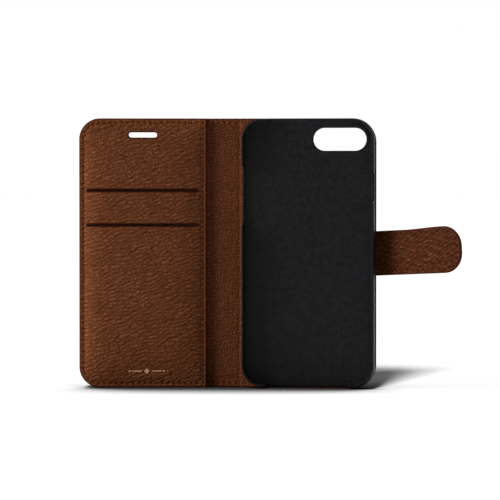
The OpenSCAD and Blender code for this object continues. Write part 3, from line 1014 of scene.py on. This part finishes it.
def pillow(u, z):
    """How the card pockets fill the panel out between its stitch lines."""
    left = np.maximum(u - FRONT_EDGE - STITCH_INSET - 0.5, 0)
    right = np.maximum(PANEL_EDGE - PANEL_STITCH_INSET - 0.5 - u, 0)
    ends = np.maximum(np.minimum(z, COVER_H - z) - STITCH_INSET - 0.5, 0)
    full = (1 - np.exp(-left / 4.5)) * (1 - np.exp(-right / 9.5)) * (1 - np.exp(-ends / 9.0))
    return PILLOW * full + 0.1 * noise(u / 22, z / 18, 41) * smooth(full)


def foil_calm(u, z):
    """1 over the stamped ornament, where the press flattens the grain."""
    return smooth((11.5 - np.abs(u - FOIL_U)) / 1.0) * smooth((2.4 - np.abs(z - FOIL_Z)) / 0.8)


def panel_level(u, z):
    """The panel's face without its grain and needle holes."""
    inner = smooth((panel_edges.distance(u, z) - 2.6) / 1.4)
    at_slot = 1 - smooth(earpiece.distance(u, z) / 0.9)
    pressed = 0.2 * (1 - inner) + 0.12 * at_slot + 0.12 * foil_calm(u, z)
    return PANEL_FRONT + pillow(u, z) + lips(u, z) + puckers(u, z) * inner - pressed


def panel_face(u, z):
    far = panel_edges.distance(u, z)
    grain = wrinkled_grain(u, z)
    relief, hole = stitched(u, z, panel_rows)
    calm = (0.25 + 0.75 * smooth((far - 0.3) / 2.6)) * (1 - 0.75 * foil_calm(u, z))
    height = 0.44 * (grain - MID_GRAIN) * calm + relief
    # The band along the panel's free edge is a painted highlight, added on top of the worn border
    wear_and_highlight = rubbed_edge(far, 3.0) + 0.5 * (1 - smooth((PANEL_EDGE - u) / 1.3))
    return panel_level(u, z) + height, marks_of(grain, hole, wear_and_highlight)


def panel_back(u, z):
    border = 1 - smooth((panel_edges.distance(u, z) - RIM_W) / 0.3)
    return PANEL_BACK - (PANEL_BACK - PANEL_BORDER_BACK - 0.02) * border + lips(u, z) + pillow(u, z)


def make_card_panel():
    shape = {"spacing": 0.46, "back_spacing": 1.6, "edge_r": 0.42}
    sheet = Sheet(covers, panel_edges, None, [*mouths, earpiece], **shape)
    look = (panel_leather, near_rows(panel_rows, 1.0), (3.2, 3.7))
    panel = sheet.build("card_panel_leather", panel_face, panel_back, *look)
    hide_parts("card_panel")
    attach(panel, "front_cover")


# ---------- foil ornament ----------

FOIL_BAR = 5.5
FOIL_BAR_AT = 2.6 + FOIL_BAR / 2
FOIL_DOT_AT = 9.0


def foil_piece(u, z, width, height, turn=0.0, round_r=0.0):
    """Flat points and triangles of one stamped bar, dot or diamond."""
    shape = Box(-width / 2, width / 2, -height / 2, height / 2, round_r, round_r)
    fill_u, fill_z = grid(shape, 0.3)
    clear = shape.distance(fill_u, fill_z) > 0.1
    flat, faces, ring = triangles(
        [shape.loop(0, 0.25)], fill_u[clear], fill_z[clear], lambda a, b: shape.distance(a, b) > 0
    )
    return np.column_stack(turned(*flat.T, -turn)) + (u, z), faces, ring


def make_foil():
    """A plain ornament: a diamond between two bars that end in dots."""
    parts = [foil_piece(FOIL_U, FOIL_Z, 2, 2, math.radians(45))]
    for side in (-1, 1):
        parts.append(foil_piece(FOIL_U + side * FOIL_BAR_AT, FOIL_Z, FOIL_BAR, 0.5, 0, 0.24))
        parts.append(foil_piece(FOIL_U + side * FOIL_DOT_AT, FOIL_Z, 1.0, 1.0, 0, 0.49))
    rests, faces, start = [], [], 0
    for flat, tris, ring in parts:
        level = panel_level(*flat.T)
        rests += [np.column_stack([flat, level + lift]) for lift in (0.07, -0.25)]
        count = len(flat)
        faces += (tris + start).tolist() + (tris[:, ::-1] + start + count).tolist()
        for a, b in zip(ring, ring[1:] + ring[:1]):
            faces.append((a + start, a + start + count, b + start + count, b + start))
        start += 2 * count
    rest = np.concatenate(rests)
    obj = mesh_object("foil_ornament", covers.bent(*rest.T), faces, {"rest": rest}, foil_material(), 30)
    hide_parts("foil_mark")
    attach(obj, "front_cover")


# ---------- thread ----------

THREAD_R = 0.27
THREAD_ROUND = 10
THREAD_RINGS = 11
STITCH_DROP = 0.5
STITCH_GAP = 0.35
STITCH_SLANT = 0.06
rng = np.random.default_rng(7)


def stitch_points(length, slant):
    """One stitch along the first axis, twisted and bowed, its ends down in the needle holes."""
    around = np.linspace(0, 2 * math.pi, THREAD_ROUND, endpoint=False)
    a, t = np.meshgrid(around, np.linspace(-1, 1, THREAD_RINGS))
    along = t * length / 2
    twist = 3 * (a - 2.6 * along)
    r = THREAD_R * (1 + 0.1 * np.cos(twist)) * (1 - 0.35 * np.abs(t) ** 6)
    across = r * np.cos(a) + slant * along
    up = 0.8 * r * np.sin(a) + 0.05 - STITCH_DROP * np.abs(t) ** 5
    return np.stack([along, across, up], 2).reshape(-1, 3), (0.5 + 0.5 * np.cos(twist)).ravel()


def stitch_faces(start, flip):
    last = start + (THREAD_RINGS - 1) * THREAD_ROUND
    faces = []
    for ring in range(start, last, THREAD_ROUND):
        for k in range(THREAD_ROUND):
            a, b = ring + k, ring + (k + 1) % THREAD_ROUND
            faces.append((a, a + THREAD_ROUND, b + THREAD_ROUND, b)[::flip])
    faces.append(tuple(range(start, start + THREAD_ROUND))[::flip])
    faces.append(tuple(range(last, last + THREAD_ROUND))[::-flip])
    return faces


def stitching(name, ribbon, runs, material=thread, keep=lambda u: True):
    """All stitches of one node that keep says are its own: runs are (row, face level, side)."""
    rests, strands, faces, start = [], [], [], 0
    for row, level, side in runs:
        for (u, z), angle in zip(row.middles, row.angles):
            if not keep(u):
                continue
            length = row.pitch - STITCH_GAP + rng.uniform(-0.1, 0.1)
            points, strand = stitch_points(length, STITCH_SLANT + rng.uniform(-0.02, 0.02))
            du, dz = turned(points[:, 0], points[:, 1], -angle)
            depth = level(np.array([u]), np.array([z]))[0] + side * points[:, 2]
            rests.append(np.column_stack([u + du, z + dz, depth]))
            strands.append(strand)
            faces += stitch_faces(start, -side)
            start += len(points)
    rest = np.concatenate(rests)
    attributes = {"rest": rest, "grain": np.concatenate(strands)}
    obj = mesh_object(name, ribbon.bent(*rest.T), faces, attributes, material)
    return obj


def outer_level(u, z):
    """Where thread lies on the outside face: in the pressed border's groove."""
    return -HALF_LEATHER + 0.24 + CREASE_DIP * creases(u, CREASE_FADE)


def inner_spine_level(u, z):
    return lining_level(u, BACK_INSIDE, SPINE_INSIDE, FRONT_INSIDE) - 0.05


def panel_thread_level(u, z):
    return panel_level(u, z) - 0.1


def through(rows):
    """Runs of stitches on both faces of the spine."""
    return [(row, *face) for row in rows for face in ((outer_level, -1), (inner_spine_level, 1))]


def make_cover_stitching():
    back_runs = [(back_row, outer_level, -1), *through(crease_rows[BACK_CREASE])]
    back = stitching("back_stitches", covers, back_runs)
    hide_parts("back_stitching")
    blend_crease(back)
    spine = stitching("spine_stitches", covers, through(spine_rows))
    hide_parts("spine_stitching")
    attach(spine, "spine")
    front_runs = [(front_row, outer_level, -1), *through(crease_rows[FRONT_CREASE])]
    front = stitching("front_stitches", covers, front_runs)
    blend_crease(front)
    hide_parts("front_stitching")
    panel = stitching("panel_stitches", covers, [(panel_row, panel_thread_level, 1)])
    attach(panel, "front_cover")
    edge = stitching("panel_edge_stitches", covers, [(panel_edge_row, panel_thread_level, 1)])
    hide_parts("panel_edge_stitching")
    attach(edge, "front_cover")


# ---------- strap ----------


def skive(s):
    """0 on the full strap, 1 where it thins to enter the back cover."""
    return 1 - smooth((s + 1.5) / 2.2)


def strap_seam(s, z):
    """Depth of the joint between the strap's two layers."""
    return 0.3 * skive(s)


def strap_face(side):
    """The outside (-1) or inside (1) of the strap."""

    def face(s, z):
        far = strap_edges.distance(s, z)
        grain = wrinkled_grain(s * 1.25 + 50, z * 1.25) if side < 0 else strap_grain(s, z)
        relief, hole = stitched(s, z, [strap_row])
        thin = skive(s)
        full = side * (STRAP_LAYER * (1 - thin)) + (0.0 if side < 0 else 0.6) * thin
        amount = 0.22 if side < 0 else 0.3
        crown = 0.05 * smooth((far - 2.4) / 2.5)
        ripple = 0.05 * noise(s / 0.7, z / 8.0, 51) * bell(s / 2.2)
        calm = 0.3 + 0.7 * smooth((far - 0.3) / 1.6)
        height = (amount * (grain - MID_GRAIN) * calm + relief + crown - 0.05 + ripple) * (1 - thin)
        return full + side * height, marks_of(grain, 0.4 * hole, 0.15 * rubbed_edge(far, 1.4))

    return face


def strap_piece(name, box, side):
    """One layer of the root or the tip: the outside (-1) or the inside (1)."""
    sheet = Sheet(strap, box, strap_edges, spacing=0.42, back_spacing=1.5, edge_r=0.24, paint=0.5)
    dense = near_rows([strap_row], FINE_REACH)
    obj = sheet.build(name, strap_face(side), strap_seam, strap_leather, dense)
    return obj


def make_strap():
    """Two layers, each in two pieces that meet half way along the root."""
    root_box = Box(STRAP_HIDDEN, MID_ROOT, -STRAP_H / 2, STRAP_H / 2)
    tip_box = Box(MID_ROOT, ROOT_L + TIP_L, -STRAP_H / 2, STRAP_H / 2, 0, TIP_R)
    for side, layer in ((-1, "outer"), (1, "lining")):
        root = strap_piece(f"strap_{layer}_root", root_box, side)
        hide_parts(f"strap_root_{layer}")
        blend_root(root)
        tip = strap_piece(f"strap_{layer}_tip", tip_box, side)
        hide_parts(f"strap_tip_{layer}")
        blend_tip(tip)


def blend_root(obj):
    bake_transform(obj)


def blend_tip(obj):
    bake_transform(obj)


def strap_thread_level(side):
    return lambda s, z: np.full(s.shape, side * (STRAP_LAYER - 0.14))


def make_strap_stitching():
    runs = [(strap_row, strap_thread_level(side), side) for side in (-1, 1)]
    root = stitching("strap_root_stitches", strap, runs, strap_thread, lambda s: s < MID_ROOT)
    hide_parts("strap_root_stitching")
    blend_root(root)
    tip = stitching("strap_tip_stitches", strap, runs, strap_thread, lambda s: s >= MID_ROOT)
    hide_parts("strap_tip_stitching")
    blend_tip(tip)


# ---------- phone shell ----------

SHELL_R = 11.15
SHELL_WALL = 1.2
SHELL_INSET_BELOW = 0.45
SHELL_INSET_ABOVE = 2.2
SHELL_BASE = 2.05
SHELL_FLOOR = 0.9
RIM_RISE = 8.05
END_GAP_W = 45.0
KEY_SILL = SHELL_FLOOR + 2.6
VOLUME_KEYS = (COVER_H - 57, COVER_H - 24)
SIDE_KEY = (COVER_H - 45, COVER_H - 28)
NOTCH_EASE = 1.6
RIM_ANGLES = (0.35, 0.75, 1.15, 1.57)
CAMERA_RINGS = (0.12, 0.35, 0.7, 1.1, 1.5, 2.0)
MOULDING_MARKS = ((-20, 30), (20, 30), (-20, 95), (0, 62))


def rim_height(x, z):
    """Height of the shell's wall at a place on its outline."""
    on_end = np.abs(z - SHELL_Z) > SHELL_H / 2 - SHELL_R * 0.6
    in_gap = on_end * smooth((END_GAP_W / 2 - np.abs(x)) / NOTCH_EASE)
    height = RIM_RISE - (RIM_RISE - SHELL_FLOOR) * in_gap
    for side, (low, high) in ((-1, VOLUME_KEYS), (1, SIDE_KEY)):
        in_notch = smooth((z - low) / NOTCH_EASE) * smooth((high - z) / NOTCH_EASE)
        height -= (height - KEY_SILL) * in_notch * (side * x > SHELL_W / 2 - 3)
    return height


def shell_profile(height):
    """Wall section from the base over the rim to the floor: distances inward, and heights."""
    rim = min(0.55, (height - 0.45) / 2)
    top = height - SHELL_FLOOR
    low = min(1, top)
    rim_arc = [(0.06 + 0.5 * (1 - math.cos(a)), height - rim + rim * math.sin(a)) for a in RIM_ANGLES]
    foot = [(SHELL_INSET_BELOW, 0.0), (0.16, 0.1), (0.03, 0.3), (0.0, 0.5)]
    side = [(0.02, max(0.5, height - 2.2)), (0.06, max(0.5, height - rim * 1.3))]
    lip = [(0.86, height), (1.08, height - 0.1 * low), (1.28 if top > 1.5 else 1.1, height - 0.4 * low)]
    wall = [(SHELL_WALL, height - min(1.3, 0.6 * top)), (SHELL_WALL, SHELL_FLOOR + 0.35 * low)]
    cove = [(1.3, SHELL_FLOOR + 0.12 * low), (1.6, SHELL_FLOOR + 0.02 * low)]
    return foot + side + rim_arc + lip + wall + cove + [(SHELL_INSET_ABOVE, SHELL_FLOOR)]


def shell_outline(inset=0.0):
    half_w, half_h, r = SHELL_W / 2 - inset, SHELL_H / 2 - inset, SHELL_R - inset
    return Box(-half_w, half_w, SHELL_Z - half_h, SHELL_Z + half_h, r, r)


def shell_rows():
    """The wall's points all round: flat places and depths, one row for each point of the outline."""
    points = np.array(shell_outline().loop(0, 0.5))
    ahead = np.roll(points, -1, 0) - np.roll(points, 1, 0)
    ahead /= np.linalg.norm(ahead, axis=1)[:, None]
    inward = np.stack([-ahead[:, 1], ahead[:, 0]], 1)
    section = np.array([shell_profile(h) for h in rim_height(*points.T)])
    flat = points[:, None, :] + inward[:, None, :] * section[:, :, :1]
    return flat, SHELL_BASE + section[:, :, 1:]


def floor_relief(x, z):
    """Faint moulding marks on the shell's floor and a raised ring round the camera opening."""
    ring = 0.22 * bell((camera_hole.distance(x, z) - 1.1) / 0.45)
    marks = np.zeros(x.shape)
    for cx, cz in MOULDING_MARKS:
        marks -= 0.07 * (1 - smooth((np.hypot(x - cx, z - cz) - 2.4) / 0.25))
    return ring + marks


def shell_level(outer, edge, spacing):
    """Points and triangles of a flat face between an outer loop and the camera opening."""
    u, z = grid(edge, spacing)
    clear = (edge.distance(u, z) > 0.6 * spacing) & (camera_hole.distance(u, z) > 2.4)
    rings = [p for far in CAMERA_RINGS for p in camera_hole.loop(far, 0.6)]
    ru, rz = np.array(rings).T
    keep = edge.distance(ru, rz) > 0.3
    return triangles(
        [[tuple(p) for p in outer], camera_hole.loop(0, 0.4)],
        np.append(u[clear], ru[keep]),
        np.append(z[clear], rz[keep]),
        lambda a, b: (camera_hole.distance(a, b) > 0) & (edge.distance(a, b) > 1e-4),
    )


def make_shell():
    flat, depth = shell_rows()
    count, steps = flat.shape[:2]
    rests = [np.concatenate([flat, depth], 2).reshape(-1, 3)]
    faces = []
    for i in range(count):
        a, b = i * steps, (i + 1) % count * steps
        faces += [(a + k, b + k, b + k + 1, a + k + 1) for k in range(steps - 1)]
    start, rims = count * steps, []
    for step, inset, level, spacing, up in (
        (steps - 1, SHELL_INSET_ABOVE, SHELL_FLOOR, 1.1, 1),
        (0, SHELL_INSET_BELOW, 0.0, 4.0, -1),
    ):
        edge = shell_outline(inset)
        filled, tris, ring = shell_level(flat[:, step], edge, spacing)
        height = level - up * 0.25 * (1 - smooth(camera_hole.distance(*filled.T) / 0.3))
        if up > 0:
            height += floor_relief(*filled.T) * smooth(edge.distance(*filled.T) / 0.5)
        number = np.arange(start, start + len(filled))
        number[ring[:count]] = np.arange(count) * steps + step
        rests.append(np.column_stack([filled, SHELL_BASE + height]))
        faces += number[tris[:, ::up]].tolist()
        rims.append(number[ring[count:]].tolist())
        start += len(filled)
    top, bottom = rims
    faces += [(top[i], bottom[i], bottom[i - 1], top[i - 1]) for i in range(len(top))]
    rest = np.concatenate(rests)
    places = np.column_stack([rest[:, 0], -rest[:, 2], rest[:, 1]])
    obj = mesh_object("phone_shell_moulding", places, faces, {"rest": rest}, shell_material(), 40)
    clean(obj)
    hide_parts("phone_shell")
    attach(obj, "back_cover")


def clean(obj):
    """Merges points that meet where the rim runs out, and removes points that no face uses."""
    work = bmesh.new()
    work.from_mesh(obj.data)
    bmesh.ops.remove_doubles(work, verts=work.verts, dist=1e-6)
    bmesh.ops.delete(work, geom=[v for v in work.verts if not v.link_faces], context="VERTS")
    work.to_mesh(obj.data)
    work.free()


# ---------- CAD pieces that stay ----------


def dress_cad_nodes():
    greys = (srgb("5d4632"), srgb("8a7053"))
    milky = (srgb("cfcabf"), srgb("e4e1da"))
    flesh = (lit("4d2a17"), lit("7d5235"))
    rough = (0.85, 0.95)
    board = mottled("FibreBoard", *greys, (1.6, 6.0, 1.2), rough, 0.05)
    film = mottled("AdhesiveFilm", *milky, (0.8, 4.0), (0.35, 0.6), 0.02, tones=(0.4, 0.65))
    skived = mottled("SkivedLeather", *flesh, (2.5, 6.0, 0.8), rough, 0.08)
    for material, names in (
        (board, ("back_board", "spine_stiffener", "front_board")),
        (cloth_material(), ("upper_pocket_lining", "lower_pocket_lining")),
        (metal("ZincPlate", "8f9296", "b5b8bb", 0.35), ("closure_plate",)),
        (metal("NickelMagnet", "9a9a98", "c9c8c4", 0.22), ("strap_magnet",)),
        (film, ("shell_adhesive",)),
        (skived, ("strap_anchor",)),
    ):
        for name in names:
            materials = frame["nodes"][name].data.materials
            materials.clear()
            materials.append(material)


# ---------- floor, light and camera ----------


FLOOR_R = 30  # metres
FLOOR_GAP = 0.0003  # metres


def make_floor():
    bpy.ops.mesh.primitive_circle_add(vertices=96, radius=FLOOR_R, fill_type="NGON")
    floor = bpy.context.object
    floor.name = "pale_floor"
    floor.location.z = -FLOOR_GAP
    floor.data.materials.append(floor_material())
    return floor


def toward(azimuth, elevation):
    """Unit vector from the object towards an azimuth and elevation in degrees."""
    a, e = math.radians(azimuth), math.radians(elevation)
    return Vector((math.sin(a) * math.cos(e), -math.cos(a) * math.cos(e), math.sin(e)))


def aimed(name, data, direction):
    """An object whose back is turned towards a direction, as a lamp's or a camera's is."""
    obj = bpy.data.objects.new(name, data)
    obj.rotation_mode = "QUATERNION"
    obj.rotation_quaternion = direction.to_track_quat("Z", "Y")
    bpy.context.scene.collection.objects.link(obj)
    return obj


def sun_light(name, azimuth, elevation, strength, softness):
    data = bpy.data.lights.new(name, "SUN")
    data.energy, data.angle = strength, math.radians(softness)
    return aimed(name, data, toward(azimuth, elevation))


def linked(name, objects, state="INCLUDE"):
    """A collection for a lamp's light linking."""
    made = bpy.data.collections.new(name)
    for member, obj in enumerate(objects):
        made.objects.link(obj)
        made.collection_objects[member].light_linking.link_state = state
    return made


# How bright the room is to the things in it, while the camera sees it white
ROOM_LIGHT = 0.25
# Each lamp's azimuth, elevation, strength and softness, with angles in degrees
LAMPS = {
    "side_key": (-68, 16, 9.4, 32),
    "front_fill": (-5, 35, 0.2, 10),
    "right_rim": (125, 30, 1.3, 30),
    "top_back": (172, 60, 3.2, 40),
    "table_lamp": (-5, 36, 53.5, 11),
}
SHADOW_CASTERS = ("outer_leather_back", "outer_leather_front", "phone_shell_moulding")


def light_room():
    world = bpy.data.worlds.new("StudioWhite")
    bpy.context.scene.world = world
    world.use_nodes = True
    tree = world.node_tree
    background = tree.nodes["Background"]
    background.inputs["Color"].default_value = (1, 1, 1, 1)
    seen = tree.nodes.new("ShaderNodeLightPath").outputs["Is Camera Ray"]
    strength = tree.nodes.new("ShaderNodeMapRange")
    strength.inputs["To Min"].default_value = ROOM_LIGHT
    strength.inputs["To Max"].default_value = 1.0
    tree.links.new(seen, strength.inputs["Value"])
    tree.links.new(strength.outputs["Result"], background.inputs["Strength"])


def light_scene(floor):
    light_room()
    lamps = {name: sun_light(name, *values) for name, values in LAMPS.items()}
    # The key is kept out of reflections, or it would whiten the covers as seen from the right
    lamps["side_key"].visible_glossy = False
    not_floor = linked("all_but_the_floor", [floor], "EXCLUDE")
    lamps["top_back"].light_linking.receiver_collection = not_floor
    # Lights only the table, where the covers and the shell cast its shadow
    linking = lamps["table_lamp"].light_linking
    linking.receiver_collection = linked("the_floor", [floor])
    linking.blocker_collection = linked("covers", [bpy.data.objects[name] for name in SHADOW_CASTERS])


CAMERA_AIM = Vector((-31.6, 0.0, 72.5))
CAMERA_AWAY = 1600.0
CAMERA_AZIMUTH = 7.3
CAMERA_ELEVATION = 1.2
FRAME_W = 264.6
SENSOR_W = 36


def make_camera():
    data = bpy.data.cameras.new("view")
    data.sensor_width = SENSOR_W
    data.lens = SENSOR_W * CAMERA_AWAY / FRAME_W
    data.clip_start, data.clip_end = 0.01, 100
    back = toward(CAMERA_AZIMUTH, CAMERA_ELEVATION)
    camera = aimed("view", data, back)
    camera.location = (CAMERA_AIM + back * CAMERA_AWAY) * MM
    bpy.context.scene.camera = camera


make_outer_leather()
make_lining()
make_card_panel()
make_foil()
make_cover_stitching()
make_strap()
make_strap_stitching()
make_shell()
dress_cad_nodes()
light_scene(make_floor())
make_camera()
bpy.context.scene.view_settings.view_transform = "Standard"
